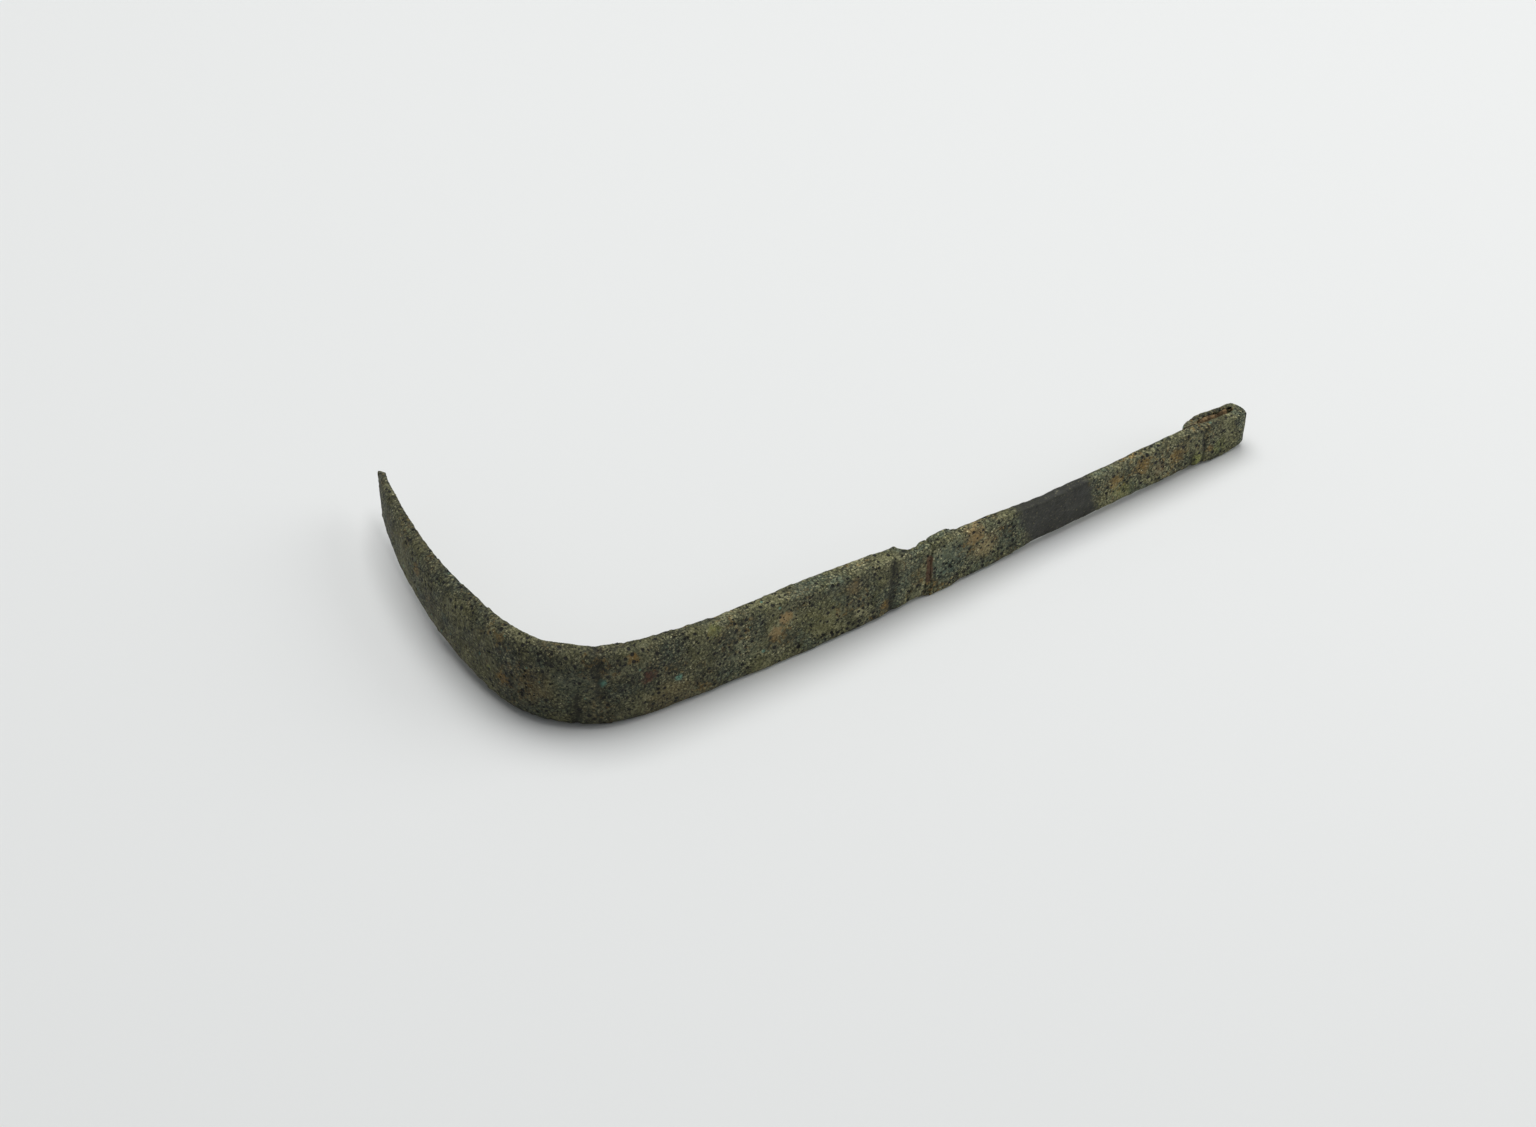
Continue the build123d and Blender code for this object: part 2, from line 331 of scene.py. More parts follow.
def wear_tip(piece):
    """Wear the tip to a blunt, leaning, rounded end, and give the crust on it in millimetres."""
    own = own_places(piece)
    tip, direction, hollow = back_line(1.0)
    from_tip = own[:, :2] - tip
    before_tip = from_tip @ direction
    near_tip = np.linalg.norm(from_tip, axis=1) < TIP_LENGTH
    off_line = np.hypot(from_tip @ hollow - TIP_INSET, own[:, 2])
    cap = -TIP_WEAR - TIP_BLUNTNESS * np.minimum(off_line, TIP_CAP) ** 2
    worn = near_tip * np.maximum(before_tip - cap, 0)
    lean = near_tip * TIP_LEAN * ease(before_tip, -TIP_LENGTH, -TIP_WEAR)
    shift(piece, np.outer(lean, ALONG) - np.outer(worn, [*direction, 0.0]))
    before_tip -= worn
    round_off(piece, near_tip & (before_tip > -TIP_WEAR - TIP_CAP), TIP_ROUNDING)
    return TIP_CRUST * near_tip * ease(before_tip, *TIP_CRUST_SPAN)


# Marks of age on the blade. A share is one of the back line's length.
SHOULDER_GROOVE = Band(place=-103.2, half_width=1.2, height=-0.3)
NECK_LIP = Band(place=-93.6, half_width=1.2, height=0.3)
CREASES = (
    {"share": 0.46, "low": -12, "high": 0, "width": 0.8},
    {"share": 0.435, "low": -2, "high": 12, "width": 1.1},
)
CREASE_DEPTH = 0.25
CREASE_WANDER = 0.7
CREASE_REACH = 5.0
CREASE_FADE = 1
DENT_SHARE = 0.515
DENT_WIDTH = 2.2
DENT_DEPTH = 0.4
KNOB_SHARE = 0.59
KNOB_REACH = 6.0
KNOB_HEIGHT = 0.35

# The edge between the root's outer and upper faces, which rises toward the bend, across the
# strip; the painted shade in a band just below it, which also stands for a row of dark pits,
# and the painted light on the upper face above it
ARRIS_AT_NECK = 7.4
ARRIS_RISE = 3.1
ARRIS_HALF_WIDTH = 1.3
ARRIS_SHADE_DROP = 2.0
ARRIS_SHADE = 0.3

# Spans in which a share rises from 0 to 1. Those in the bend and the arris' rise are counted
# back from the eye, the others lie on one of the own axes.
BLADE_INSIDE = (0.6, 1.4)
NECK_UPPER_EDGE = (5.0, 6.0)
ROOT_BEYOND_BEND = (-160, -150)
ROOT_BEFORE_NECK = (-106, -104)
ABOVE_ARRIS = (-0.8, -0.2)
ARRIS_RISE_SPAN = (100, 160)
NECK_SPAN = (-106, -102)
BEND_SPAN = (135, 178)
ARM_SPAN = (18, 40)

# Brightness of the blade's patina, and what its places add to it: painted shade darkens the
# bend and the arm beyond it, which face away from the light
BLADE_TONE = 1.3
NECK_TONE = 0.15
BEND_PAINTED_SHADE = -0.5
ARM_TONE = 0.1
UPPER_FACE_PAINTED_LIGHT = 0.1


def crease(own, share, low, high, width):
    """Ragged line across the blade's back, from across = low to high."""
    place, direction, _ = back_line(share)
    distance = (own[:, :2] - place) @ direction + CREASE_WANDER * noise(own, size=2.5, seed=61)
    near = np.linalg.norm(own[:, :2] - place, axis=1) < 4 * width + CREASE_REACH
    above_low = ease(own[:, 2], low - CREASE_FADE, low + CREASE_FADE)
    above_high = ease(own[:, 2], high - CREASE_FADE, high + CREASE_FADE)
    return ridge(distance, width) * (above_low * (1 - above_high)) * near


def make_blade():
    """Blade with its worn tip, groove, creases, dent and knobs, and its marks of painted light
    and shade.
    """
    piece = solid_copy("blade", METAL_VOXEL, METAL_ROUNDING)
    tip_crust = wear_tip(piece)
    own = own_places(piece)
    along, inward, across = own.T
    outside = 1 - ease(inward, *BLADE_INSIDE)

    wander = 0.5 * noise(own, size=3.0, seed=62)
    groove = in_band(along, SHOULDER_GROOVE, wander) * outside
    creases = sum(crease(own, **line) for line in CREASES)
    dent = ridge(np.linalg.norm(own - on_rim(DENT_SHARE, 1), axis=1), DENT_WIDTH)
    knobs = spots(own, spacing=2.0, smallest=0.6, largest=1.1, share=0.7, seed=91)
    knobs = ease(knobs, 0.0, 0.8)
    knobs *= ridge(np.linalg.norm(own - on_rim(KNOB_SHARE, -1), axis=1), KNOB_REACH)
    neck_lip = in_band(along, NECK_LIP) * ease(across, *NECK_UPPER_EDGE)

    height, pits = corroded(own)
    height += SHOULDER_GROOVE.height * groove + NECK_LIP.height * neck_lip
    height += KNOB_HEIGHT * knobs + tip_crust
    height -= CREASE_DEPTH * creases + DENT_DEPTH * dent

    # Painted light on the upper face above the arris, and a band of painted shade below it
    arris = ARRIS_AT_NECK + ARRIS_RISE * ease(-along, *ARRIS_RISE_SPAN)
    on_root = ease(along, *ROOT_BEYOND_BEND) * (1 - ease(along, *ROOT_BEFORE_NECK))
    above_arris = ease(across - arris, *ABOVE_ARRIS) * on_root
    below_arris = ridge(across - arris + ARRIS_SHADE_DROP, ARRIS_HALF_WIDTH) * outside * on_root
    # The tone carries painted shade on the bend and arm and painted light on the upper face
    tone = BLADE_TONE + UPPER_FACE_PAINTED_LIGHT * above_arris + NECK_TONE * ease(along, *NECK_SPAN)
    tone += BEND_PAINTED_SHADE * ease(-along, *BEND_SPAN) + ARM_TONE * ease(inward, *ARM_SPAN)
    # Painted shade in the shoulder groove, partly its dark pitted corrosion, in the creases and
    # below the arris
    shade = np.clip(groove + creases + ARRIS_SHADE * below_arris, 0, 1)
    displace(piece, height, pit=pits, shade=shade, rust=seam_rust(own), tone=tone)
    return piece


# Marks of age on the handle
SOCKET_MOUTH = -92.2
SOCKET_WEAR = Band(place=SOCKET_MOUTH, half_width=1.0, height=-0.35)
TANG_SWELLING = Band(place=-83.0, half_width=2.0, height=0.3)
LOW_GROOVE = Band(place=-15.3, half_width=0.8, height=-0.35)
EYE_GROOVE = Band(place=-11.8, half_width=0.6, height=-0.35)
SLOT_START = -13.0
SLOT_END = -1.6
SLOT_MIDDLE = 3.4
SLOT_MOUTH_DEPTH = 0.3
END_EDGE_WIDTH = 1.2
END_EDGE_DEPTH = 0.45
EYE_CRUST = 1.4
EYE_TOP_DARKENING = 0.5

# Spans in which a share rises from 0 to 1, from the slot or on one of the own axes
EYE_CRUST_SPAN = (-7.0, -1.0)
HANDLE_INSIDE = (0.6, 1.2)
HANDLE_INNER_FACE = (1.5, 2.5)
HANDLE_UPPER_HALF = (-1.0, 1.0)
COLLAR_UPPER_EDGE = (5.5, 6.8)
EYE_UPPER_EDGE = (5.0, 5.8)
EYE_SPAN = (-18, -15)
EYE_RIMS = (3.6, 4.6)
BEYOND_SLOT_MOUTH = (0.3, 0.7)
HANDLE_END_SPAN = (-60, 0)

# Brightness of the handle's patina, and what its end adds to it
HANDLE_TONE = 1.5
HANDLE_END_TONE = -0.08


def make_handle():
    """Handle with its grooves, the crust on its eye and the worn mouths of eye and socket, and
    painted shade in its grooves.
    """
    piece = solid_copy("handle", METAL_VOXEL, METAL_ROUNDING)
    toward_end = ease(own_places(piece)[:, 0], *EYE_CRUST_SPAN)
    shift(piece, np.outer(EYE_CRUST * toward_end, ALONG))
    own = own_places(piece)
    along, inward, across = own.T
    outside = 1 - ease(inward, *HANDLE_INSIDE)

    wander = 0.4 * noise(own, size=3.0, seed=63)
    eye_groove = in_band(along, EYE_GROOVE, wander) * outside
    low_groove = in_band(along, LOW_GROOVE, wander) * outside
    low_groove *= 1 - ease(across, *HANDLE_UPPER_HALF)
    end_edge = ridge(np.hypot(along - EYE_CRUST, inward), END_EDGE_WIDTH)
    off_slot = np.hypot(along - np.clip(along, SLOT_START, SLOT_END), inward - SLOT_MIDDLE)
    off_slot += 0.5 * noise(own, size=1.2, seed=64)
    slot_mouth = 1 - ease(off_slot, *BEYOND_SLOT_MOUTH)
    slot_mouth *= ease(np.abs(across), *EYE_RIMS)
    socket_wear = in_band(along, SOCKET_WEAR) * ease(across, *COLLAR_UPPER_EDGE)
    tang_swelling = in_band(along, TANG_SWELLING) * ease(inward, *HANDLE_INNER_FACE)

    height, pits = corroded(own)
    height += EYE_GROOVE.height * eye_groove + LOW_GROOVE.height * low_groove
    height += SOCKET_WEAR.height * socket_wear + TANG_SWELLING.height * tang_swelling
    height -= END_EDGE_DEPTH * end_edge + SLOT_MOUTH_DEPTH * slot_mouth

    # Painted shade in the eye and low grooves, and a dark stain on the eye's upper face
    eye_top = ease(across, *EYE_UPPER_EDGE) * ease(along, *EYE_SPAN)
    shade = np.maximum(np.maximum(eye_groove, low_groove), EYE_TOP_DARKENING * eye_top)
    tone = HANDLE_TONE + HANDLE_END_TONE * ease(along, *HANDLE_END_SPAN)
    marks = {"pit": pits, "shade": shade, "earth": slot_mouth, "rust": seam_rust(own)}
    displace(piece, height, tone=tone, **marks)
    return piece


# Solder of the socket, and earth packed in the eye
SOLDER_RISE = 0.2
SOLDER_EDGE_RISE = 0.25
SOLDER_RISE_INSIDE = 0.1
SOLDER_LUMP_HEIGHT = 0.12
SOLDER_PIT_DEPTH = 0.15
SOLDER_TONE = 1.45
SOCKET_SPAN = (SOCKET_MOUTH, -91.6)
EARTH_SUNK = 1.1
EARTH_UPPER_END = (1.5, 3.5)
EARTH_LUMP_HEIGHT = 0.25
EARTH_PIT_DEPTH = 0.5
CREST_RISE = 0.3
CREST_START = -8.0
CREST_SLOPE = 0.05
CREST_WIDTH = 0.6
CREST_STRENGTH = 1.3


def make_seam():
    """Solder of the socket: proud of the neck at the seam, and level with the handle where
    the socket's wall is too thin for the even mesh."""
    piece = solid_copy("socket_solder", FILLING_VOXEL, FILLING_ROUNDING)
    own = own_places(piece)
    pits = spots(own, spacing=1.2, smallest=0.25, largest=0.5, share=0.4, seed=75)
    pits = ease(pits, 0.0, 0.7)
    lumps = SOLDER_LUMP_HEIGHT * layered_noise(own, size=1.6, seed=71, layers=3)
    at_seam = SOLDER_RISE + lumps
    at_seam += SOLDER_EDGE_RISE * off_middle(own) - SOLDER_PIT_DEPTH * pits
    inside = ease(own[:, 0], *SOCKET_SPAN)
    height = at_seam * (1 - inside) + SOLDER_RISE_INSIDE * inside
    marks = {"pit": pits, "rust": seam_rust(own) * (1 - inside)}
    displace(piece, height, tone=np.full(len(own), SOLDER_TONE), **marks)
    return piece


def make_deposit():
    """Earth in the eye: a crumbly crest with hollows beside it."""
    piece = solid_copy("eye_deposit", FILLING_VOXEL, FILLING_ROUNDING)
    own = own_places(piece)
    along, inward, across = own.T
    crest = SLOT_MIDDLE + CREST_RISE + CREST_SLOPE * (along - CREST_START)
    beside_crest = 1 - CREST_STRENGTH * ridge(inward - crest, CREST_WIDTH)
    sunk = EARTH_SUNK * beside_crest * ease(across, *EARTH_UPPER_END)
    shift(piece, np.outer(-sunk, ACROSS))
    height = EARTH_LUMP_HEIGHT * layered_noise(own, size=1.8, seed=81, layers=3)
    pits = spots(own, spacing=1.6, smallest=0.3, largest=0.7, share=0.45, seed=85)
    pits = ease(pits, 0.0, 0.7)
    displace(piece, height - EARTH_PIT_DEPTH * pits, pit=pits)
    return piece


# Materials
MIX_FIRST = 6
MIX_SECOND = 7
MIX_RESULT = 2
SPECULAR_LEVEL = 0.35


def colour(red, green, blue):
    """A screen colour from 0 to 255, as the linear colour that a shader takes."""
    screen = np.array([red, green, blue]) / 255
    linear = np.where(screen <= 0.04045, screen / 12.92, ((screen + 0.055) / 1.055) ** 2.4)
    return (*linear, 1.0)


class Graph:
    """Short calls that add and join the nodes of one material. Sizes are in millimetres."""

    def __init__(self, name, ground):
        self.material = bpy.data.materials.new(name)
        self.material.use_nodes = True
        self.nodes = self.material.node_tree.nodes
        self.links = self.material.node_tree.links
        self.shader = self.nodes["Principled BSDF"]
        place = self.nodes.new("ShaderNodeTexCoord").outputs["Object"]
        self.place = self.vector("SCALE", place, scale=1 / MM)
        self.base = ground

    def put(self, socket, value):
        if isinstance(value, bpy.types.NodeSocket):
            self.links.new(value, socket)
        else:
            socket.default_value = value

    def vector(self, operation, first, second=None, scale=None):
        node = self.nodes.new("ShaderNodeVectorMath")
        node.operation = operation
        self.put(node.inputs[0], first)
        if second is not None:
            self.put(node.inputs[1], second)
        if scale is not None:
            self.put(node.inputs["Scale"], scale)
        return node.outputs["Value" if operation in ("DOT_PRODUCT", "DISTANCE") else "Vector"]

    def math(self, operation, first, second, third=0.0):
        node = self.nodes.new("ShaderNodeMath")
        node.operation = operation
        for socket, value in zip(node.inputs, (first, second, third)):
            self.put(socket, value)
        return node.outputs[0]

    def times(self, first, second):
        return self.math("MULTIPLY", first, second)

    def scaled_sum(self, value, factor, added):
        """Value times factor, plus what is added."""
        return self.math("MULTIPLY_ADD", value, factor, added)

    def span(self, value, low, high, start=0.0, end=1.0):
        """Smooth step of a value, from start at low to end at high."""
        node = self.nodes.new("ShaderNodeMapRange")
        node.interpolation_type = "SMOOTHSTEP"
        for socket, number in zip(node.inputs, (value, low, high, start, end)):
            self.put(socket, number)
        return node.outputs[0]

    def noise(self, size, detail=2.0, roughness=0.5, shift=0.0):
        """Noise of about 0 to 1 in lumps of this size."""
        node = self.nodes.new("ShaderNodeTexNoise")
        node.inputs["Scale"].default_value = 1 / size
        node.inputs["Detail"].default_value = detail
        node.inputs["Roughness"].default_value = roughness
        moved = self.vector("ADD", self.place, (shift, 1.7 * shift, -0.6 * shift))
        self.links.new(moved, node.inputs["Vector"])
        return node.outputs["Fac"]

    def cells(self, size, shift, warp, feature="F1"):
        """Outputs of a pattern of random cells, whose edges a noise warps."""
        moved = self.vector("ADD", self.place, (shift, -shift, 0.5 * shift))
        sway = self.nodes.new("ShaderNodeTexNoise")
        sway.inputs["Scale"].default_value = 1 / size
        self.links.new(moved, sway.inputs["Vector"])
        swayed = self.vector("SCALE", sway.outputs["Color"], scale=warp)
        node = self.nodes.new("ShaderNodeTexVoronoi")
        node.feature = feature
        node.inputs["Scale"].default_value = 1 / size
        self.links.new(self.vector("ADD", moved, swayed), node.inputs["Vector"])
        return node.outputs

    def dots(self, spacing, smallest, largest, share, shift):
        """Round dots in a share of the random cells, from 0 outside to 1 inside."""
        cells = self.cells(spacing, shift, warp=0.25)
        growth = ((largest - smallest) / spacing, 0, 0)
        size = self.vector("DOT_PRODUCT", cells["Color"], growth)
        inside = self.math("SUBTRACT", cells["Distance"], size)
        edge = smallest / spacing
        drawn = self.vector("DOT_PRODUCT", cells["Color"], (0, 1, 0))
        kept = self.math("LESS_THAN", drawn, share)
        return self.times(self.span(inside, 1.3 * edge, 0.5 * edge), kept)

    def attribute(self, name):
        node = self.nodes.new("ShaderNodeAttribute")
        node.attribute_name = name
        return node.outputs["Fac"]

    def own_place(self):
        """Place along, inward and across, on the strigil's own axes."""
        return [
            self.math("SUBTRACT", self.vector("DOT_PRODUCT", self.place, tuple(axis)), start / MM)
            for axis, start in zip(own_axes, own_origin)
        ]

    def paint(self, tint, share, strength=None):
        """Lay a colour over the base colour, in a share from 0 to 1."""
        if strength is not None:
            share = self.times(share, strength)
        node = self.nodes.new("ShaderNodeMix")
        node.data_type = "RGBA"
        self.put(node.inputs["Factor"], share)
        self.put(node.inputs[MIX_FIRST], self.base)
        self.put(node.inputs[MIX_SECOND], tint)
        self.base = node.outputs[MIX_RESULT]

    def finish(self, roughness, height, depth):
        """Join the base colour, the roughness and the bump to the shader."""
        bump = self.nodes.new("ShaderNodeBump")
        bump.inputs["Strength"].default_value = 1.0
        bump.inputs["Distance"].default_value = depth * MM
        self.put(bump.inputs["Height"], height)
        self.put(self.shader.inputs["Base Color"], self.base)
        self.put(self.shader.inputs["Roughness"], roughness)
        self.shader.inputs["Specular IOR Level"].default_value = SPECULAR_LEVEL
        self.links.new(bump.outputs["Normal"], self.shader.inputs["Normal"])
        return self.material


DARK_OLIVE = colour(58, 59, 40)
GREY_OLIVE = colour(99, 100, 74)
YELLOW_OLIVE = colour(108, 106, 66)
PALE_GRAIN = colour(150, 146, 110)
BRIGHT_GRAIN = colour(196, 190, 150)
# Dark grains and veins of the patina, and painted shade in grooves, creases and below the arris
DARK_GRAIN_AND_SHADE = colour(36, 36, 25)
DEEP = colour(16, 16, 12)
EARTH_ORANGE = colour(126, 98, 44)
TAN = colour(140, 118, 78)
RED_BROWN = colour(84, 50, 34)
BLUE_GREY = colour(70, 88, 78)
VERDIGRIS = colour(96, 142, 124)
YELLOW_GREEN = colour(136, 140, 74)
LACQUER = colour(38, 39, 34)
RUSTY_SOLDER = (colour(48, 32, 22), colour(78, 52, 34), colour(110, 90, 60))
PACKED_EARTH = (colour(66, 52, 34), colour(130, 106, 72), colour(184, 162, 122))

# Stains on the blade: share of its line, millimetres across, radius, colour and strength
BLADE_STAINS = (
    (0.76, 3.8, 2.0, EARTH_ORANGE, 0.9),
    (0.57, 9.6, 2.0, EARTH_ORANGE, 0.7),
    (0.56, -1.4, 2.0, EARTH_ORANGE, 0.85),
    (0.51, 0.5, 5.5, EARTH_ORANGE, 0.25),
    (0.51, 9.6, 1.0, YELLOW_GREEN, 0.7),
    (0.585, -1.2, 0.8, YELLOW_GREEN, 0.8),
    (0.43, 3.2, 1.1, VERDIGRIS, 1.0),
    (0.33, -1.3, 1.2, VERDIGRIS, 1.0),
    (0.39, 8.6, 1.6, EARTH_ORANGE, 0.75),
    (0.37, 2.1, 2.1, RED_BROWN, 0.9),
    (0.68, 0.6, 1.5, BLUE_GREY, 0.7),
    (0.34, -6.5, 7.0, TAN, 0.25),
    (0.18, 4.2, 2.2, TAN, 0.85),
    (0.192, 0.8, 2.2, TAN, 0.7),
    (0.28, 8.6, 2.2, YELLOW_GREEN, 0.35),
    (0.07, -3.2, 1.7, PALE_GRAIN, 0.8),
    (0.03, -4.6, 1.8, EARTH_ORANGE, 0.7),
    (0.08, 5.0, 2.4, TAN, 0.35),
    (0.24, -1.0, 6.0, BLUE_GREY, 0.15),
    (0.13, 1.0, 7.0, YELLOW_OLIVE, 0.5),
    (0.62, 0.0, 12.0, YELLOW_OLIVE, 0.35),
    (0.8, 0.0, 12.0, YELLOW_OLIVE, 0.35),
    (0.3, 4.0, 6.0, YELLOW_OLIVE, 0.3),
    (0.47, 2.0, 6.0, BLUE_GREY, 0.3),
    (0.975, 0.0, 1.8, PALE_GRAIN, 0.6),
    (0.945, 0.0, 2.4, RED_BROWN, 0.5),
)

# Stains on the outer face of the handle: millimetres along and across, radius and so on
HANDLE_STAINS = (
    (-88.0, 1.0, 6.0, BLUE_GREY, 0.45),
    (-80.0, 5.0, 3.0, TAN, 0.6),
    (-77.0, 0.0, 4.0, TAN, 0.35),
    (-71.0, -2.0, 3.0, BLUE_GREY, 0.3),
    (-39.0, 2.0, 2.2, EARTH_ORANGE, 0.5),
    (-36.0, -2.0, 3.4, YELLOW_GREEN, 0.25),
    (-31.0, 3.0, 2.6, EARTH_ORANGE, 0.6),
    (-26.0, 0.0, 2.6, RED_BROWN, 0.25),
    (-20.0, 1.5, 3.0, EARTH_ORANGE, 0.45),
    (-7.0, -1.5, 2.2, YELLOW_GREEN, 0.3),
    (-9.8, -1.0, 1.4, EARTH_ORANGE, 0.5),
    (-13.6, -2.5, 2.2, YELLOW_GREEN, 0.6),
)
BLADE_WARMTH = 0.6
HANDLE_WARMTH = 0.7

# Lacquer on the handle, in millimetres along it; its ends slant and fray
LACQUER_START = -66.0
LACQUER_END = -45.0
LACQUER_START_FADE = 2.0
LACQUER_END_FADE = 1.5
LACQUER_SLANT = 0.35
LACQUER_FRAY = 4.0
LACQUER_GLOSS = 0.2
LACQUER_FILLING = 0.7

# Depth of the bump, in millimetres, and what each thing adds to its height
PATINA_BUMP = 0.3
CRUST_BUMP = 0.25
HOLE_BUMP = -0.7
VEIN_BUMP = -0.35
CRUMB_BUMP = 0.8


def lay_lacquer(graph, fray, grain, rough, height):
    """Dark lacquer that smooths the metal under it. Gives the new roughness and height."""
    along, inward, across = graph.own_place()
    slanted = graph.scaled_sum(across, LACQUER_SLANT, along)
    slanted = graph.math("ADD", slanted, graph.times(fray, LACQUER_FRAY))
    start, end = LACQUER_START, LACQUER_END
    inside = graph.times(
        graph.span(slanted, start - LACQUER_START_FADE, start + LACQUER_START_FADE),
        graph.span(slanted, end + LACQUER_END_FADE, end - LACQUER_END_FADE),
    )
    outer_face = graph.span(inward, 1.0, 0.4)
    upper_edge = graph.span(across, 4.0, 4.6)
    shown = graph.times(inside, graph.math("MAXIMUM", outer_face, upper_edge))
    cover = graph.times(shown, graph.span(grain, 0.72, 0.6, start=0.6, end=0.95))
    graph.paint(LACQUER, cover)
    rough = graph.scaled_sum(shown, -LACQUER_GLOSS, rough)
    height = graph.times(height, graph.scaled_sum(shown, -LACQUER_FILLING, 1.0))
    return rough, height


def patina(name, stains, warmth, lacquered=False):
    """Olive-grey bronze patina: grain, stains, verdigris, veins and pits, with the painted light
    and shade that its tone and shade marks carry.
    """
    graph = Graph(name, DARK_OLIVE)
    broad = graph.noise(size=2.6, detail=4.0, roughness=0.65)
    clouds = graph.noise(size=9.0, shift=83.0)
    tint = graph.noise(size=8.0, detail=3.0, shift=40.0)
    crumbs = graph.noise(size=1.3, detail=3.0, roughness=0.7, shift=21.0)
    grain = graph.noise(size=0.6, roughness=0.7, shift=5.0)
    crowd = graph.span(graph.noise(size=4.0, shift=12.0), 0.35, 0.65, start=0.35)
    fray = graph.noise(size=1.3, detail=3.0, roughness=0.7, shift=60.0)
    fray = graph.math("SUBTRACT", fray, 0.5)

    # Mottled ground, with pale and dark grains
    graph.paint(GREY_OLIVE, graph.span(broad, 0.36, 0.64))
    graph.paint(YELLOW_OLIVE, graph.span(clouds, 0.36, 0.56, start=0.45, end=0.0))
    blue = graph.times(graph.span(tint, 0.50, 0.64), graph.span(crumbs, 0.36, 0.54))
    graph.paint(BLUE_GREY, blue, strength=0.6)
    earth = graph.times(graph.span(clouds, 0.44, 0.62), graph.span(crumbs, 0.50, 0.62))
    graph.paint(EARTH_ORANGE, earth, strength=warmth)
    pale = graph.times(graph.span(grain, 0.52, 0.64, end=0.85), crowd)
    graph.paint(PALE_GRAIN, pale)
    graph.paint(DARK_GRAIN_AND_SHADE, graph.span(grain, 0.48, 0.37, end=0.85))

    # Stains, earth round the eye's slot and rust of the seam
    for place, radius, stain, strength in stains:
        distance = graph.vector("DISTANCE", graph.place, tuple(to_frame(place) / MM))
        frayed = graph.scaled_sum(fray, 2.4 * radius, distance)
        graph.paint(stain, graph.span(frayed, 1.15 * radius, 0.4 * radius, end=strength))
    graph.paint(TAN, graph.span(graph.attribute("earth"), 0.3, 0.7, end=0.6))
    graph.paint(RED_BROWN, graph.span(graph.attribute("rust"), 0.2, 0.8, end=0.7))

    # Verdigris, bright crystals and dark veins
    specks = graph.dots(spacing=2.3, smallest=0.15, largest=0.5, share=0.2, shift=57.0)
    graph.paint(VERDIGRIS, specks, strength=0.55)
    crystals = graph.dots(spacing=0.9, smallest=0.08, largest=0.24, share=0.4, shift=73.0)
    graph.paint(BRIGHT_GRAIN, graph.times(crystals, crowd), strength=0.8)
    cells = graph.cells(size=1.05, shift=9.0, warp=0.8, feature="DISTANCE_TO_EDGE")
    veins = graph.times(graph.span(cells["Distance"], 0.15, 0.03), graph.span(tint, 0.36, 0.56))
    graph.paint(DARK_GRAIN_AND_SHADE, veins, strength=0.7)

    # Brightness with its painted light and shade, painted shade in the grooves, and dark insides
    # of the pits
    graph.base = graph.vector("SCALE", graph.base, scale=graph.attribute("tone"))
    crumbled = graph.span(crumbs, 0.42, 0.66, start=0.98, end=0.45)
    graph.paint(DARK_GRAIN_AND_SHADE, graph.times(graph.attribute("shade"), crumbled))
    large_holes = graph.dots(spacing=1.4, smallest=0.2, largest=0.52, share=0.6, shift=31.0)
    small_holes = graph.dots(spacing=0.8, smallest=0.1, largest=0.26, share=0.5, shift=93.0)
    holes = graph.math("MAXIMUM", large_holes, small_holes)
    holes = graph.math("MAXIMUM", holes, graph.span(graph.attribute("pit"), 0.25, 0.75))
    graph.paint(DEEP, holes, strength=0.93)

    rough = graph.span(broad, 0.3, 0.7, start=0.82, end=0.66)
    height = graph.scaled_sum(holes, HOLE_BUMP, grain)
    height = graph.scaled_sum(veins, VEIN_BUMP, height)
    height = graph.scaled_sum(crumbs, CRUMB_BUMP, height)
    if lacquered:
        rough, height = lay_lacquer(graph, fray, grain, rough, height)
    return graph.finish(rough, height, PATINA_BUMP)


def crust(name, low, high, spot):
    """Crumbly filling, earth or rusty solder, in two tones with pale spots."""
    graph = Graph(name, low)
    broad = graph.noise(size=2.2, detail=4.0, roughness=0.65)
    fine = graph.noise(size=0.5, detail=3.0, roughness=0.7, shift=12.0)
    graph.paint(high, graph.span(broad, 0.38, 0.62))
    graph.paint(spot, graph.span(fine, 0.55, 0.72, end=0.6))
    graph.paint(DEEP, graph.span(fine, 0.44, 0.3, end=0.8))
    graph.paint(DEEP, graph.span(graph.attribute("pit"), 0.3, 0.9, end=0.9))
    rough = graph.span(broad, 0.3, 0.7, start=0.95, end=0.85)
    return graph.finish(rough, fine, CRUST_BUMP)


# Camera of the photograph: lens and sensor in millimetres, places in metres
LENS = 85.0
SENSOR = 36.0
CAMERA_AZIMUTH = radians(-34.74)
CAMERA_ELEVATION = radians(42.0)
CAMERA_ROLL = radians(0.12)
CAMERA_DISTANCE = 834.9 * MM
CAMERA_TARGET = Vector((-19.95, -20.03, 0.0)) * MM
NEAREST_SEEN = 0.01
FARTHEST_SEEN = 20.0

# Pale paper and soft light, in metres and watts
FLOOR_HALF = 3.0
FLOOR_COLOUR = (0.80, 0.81, 0.80, 1.0)
FLOOR_ROUGHNESS = 0.9
SKY_COLOUR = (0.95, 0.97, 1.0, 1.0)
SKY_STRENGTH = 0.23
LIGHTS = (
    {"name": "key", "place": (0.13, 0.34, 1.4), "size": 1.15, "power": 17},
    {"name": "fill", "place": (0.9, -0.45, 0.6), "size": 0.95, "power": 4.4},
)


def add_object(name, data):
    made = bpy.data.objects.new(name, data)
    bpy.context.scene.collection.objects.link(made)
    return made


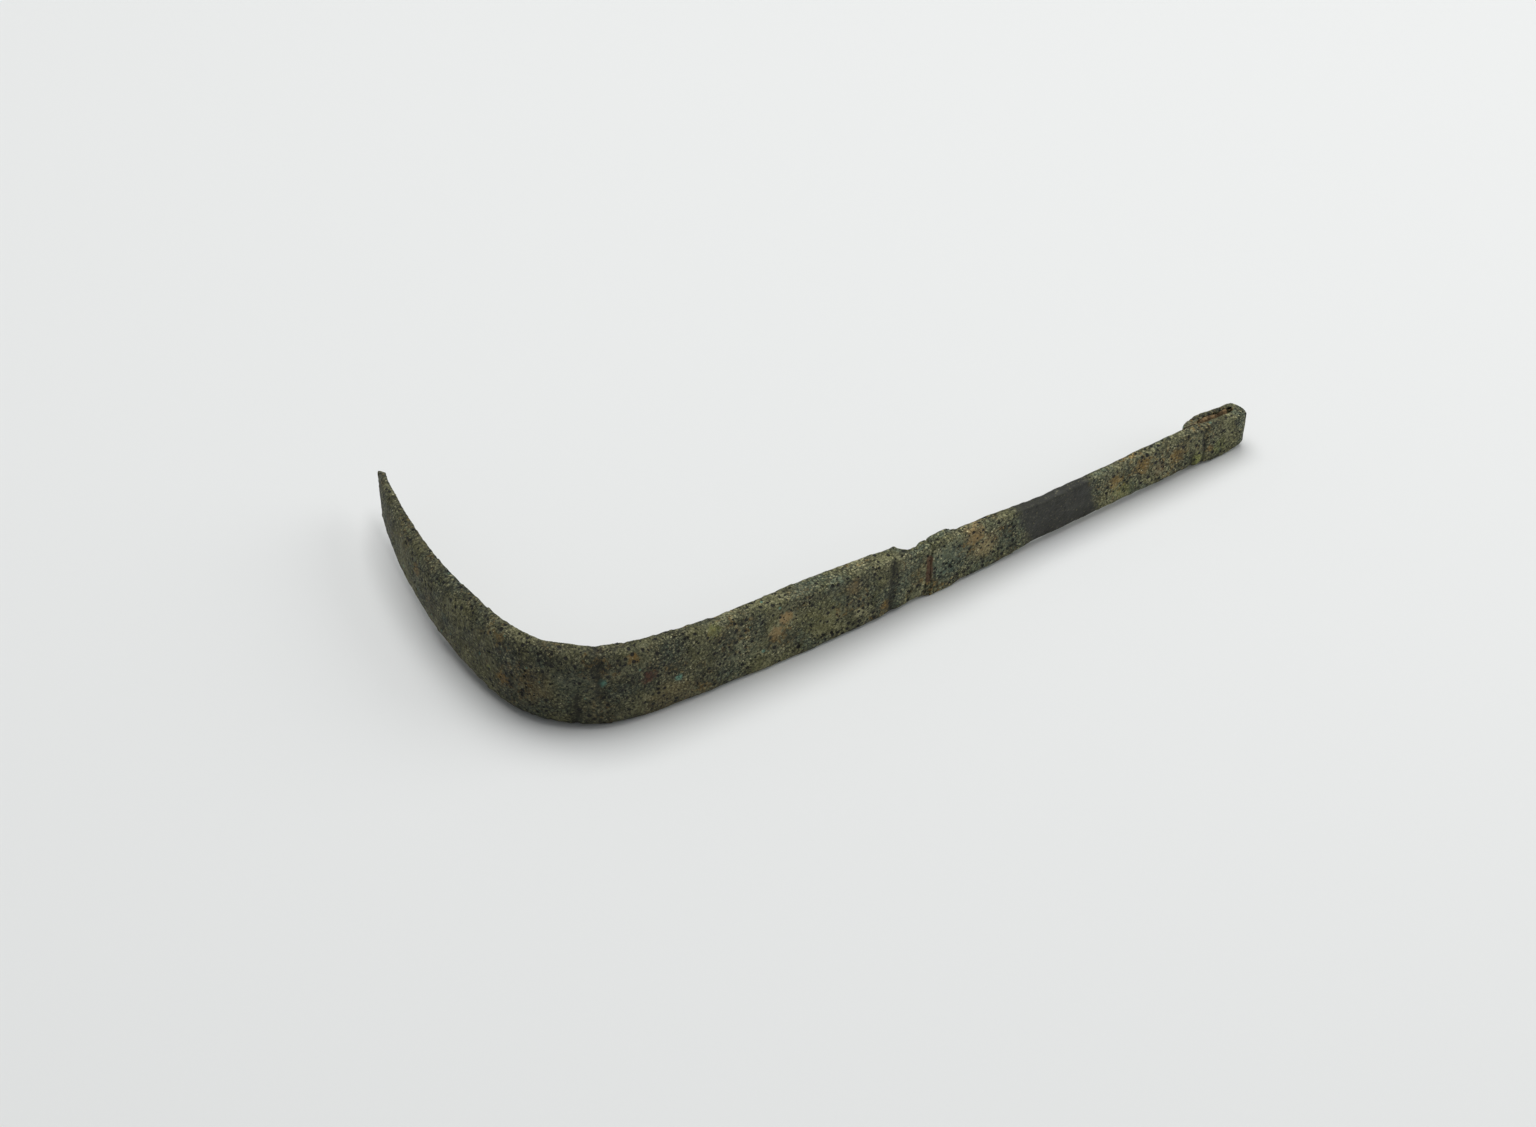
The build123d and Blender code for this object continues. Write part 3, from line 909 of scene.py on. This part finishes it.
def make_camera():
    level = cos(CAMERA_ELEVATION)
    back = Vector(
        (sin(CAMERA_AZIMUTH) * level, -cos(CAMERA_AZIMUTH) * level, sin(CAMERA_ELEVATION))
    )
    right = Vector((cos(CAMERA_AZIMUTH), sin(CAMERA_AZIMUTH), 0.0))
    turn = Matrix((right, back.cross(right), back)).transposed().to_4x4()
    roll = Matrix.Rotation(CAMERA_ROLL, 4, "Z")
    data = bpy.data.cameras.new("camera")
    data.lens = LENS
    data.sensor_width = SENSOR
    data.clip_start = NEAREST_SEEN
    data.clip_end = FARTHEST_SEEN
    camera = add_object("camera", data)
    camera.matrix_world = Matrix.Translation(CAMERA_TARGET + back * CAMERA_DISTANCE) @ turn @ roll
    bpy.context.scene.camera = camera


def make_floor():
    half = FLOOR_HALF
    mesh = bpy.data.meshes.new("floor")
    corners = [(-half, -half, 0), (half, -half, 0), (half, half, 0), (-half, half, 0)]
    mesh.from_pydata(corners, [], [(0, 1, 2, 3)])
    material = bpy.data.materials.new("floor_paper")
    material.use_nodes = True
    shader = material.node_tree.nodes["Principled BSDF"]
    shader.inputs["Base Color"].default_value = FLOOR_COLOUR
    shader.inputs["Roughness"].default_value = FLOOR_ROUGHNESS
    mesh.materials.append(material)
    add_object("floor", mesh)


def make_light(name, place, size, power):
    """Square lamp that faces the middle of the picture."""
    data = bpy.data.lights.new(name, "AREA")
    data.shape = "RECTANGLE"
    data.size = size
    data.size_y = size
    data.energy = power
    light = add_object(name, data)
    light.location = place
    light.rotation_euler = (CAMERA_TARGET - Vector(place)).to_track_quat("-Z", "Y").to_euler()


def make_world():
    world = bpy.data.worlds.new("world")
    world.use_nodes = True
    background = world.node_tree.nodes["Background"]
    background.inputs["Color"].default_value = SKY_COLOUR
    background.inputs["Strength"].default_value = SKY_STRENGTH
    bpy.context.scene.world = world


def coat(item, material):
    """Give an object this one material."""
    item.data.materials.clear()
    item.data.materials.append(material)


def dress(piece, node, material):
    """Give a piece its material and body, in place of the node that it stands for."""
    coat(piece, material)
    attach(piece, "root")
    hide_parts(node)


blade_stains = [
    (on_back(share, across), radius, stain, strength)
    for share, across, radius, stain, strength in BLADE_STAINS
]
handle_stains = [
    (np.array([along, 0.0, across]), radius, stain, strength)
    for along, across, radius, stain, strength in HANDLE_STAINS
]
blade_look = patina("blade_patina", blade_stains, BLADE_WARMTH)
handle_look = patina("handle_patina", handle_stains, HANDLE_WARMTH, lacquered=True)
seam_look = patina("seam_patina", handle_stains, HANDLE_WARMTH)
dress(make_blade(), "blade", blade_look)
dress(make_handle(), "handle", handle_look)
dress(make_seam(), "socket_solder", seam_look)
dress(make_deposit(), "eye_deposit", crust("packed_earth", *PACKED_EARTH))
coat(frame["nodes"]["eye_solder"], crust("rusty_solder", *RUSTY_SOLDER))

make_camera()
make_floor()
make_world()
for light in LIGHTS:
    make_light(**light)
bpy.context.scene.view_settings.view_transform = "Standard"
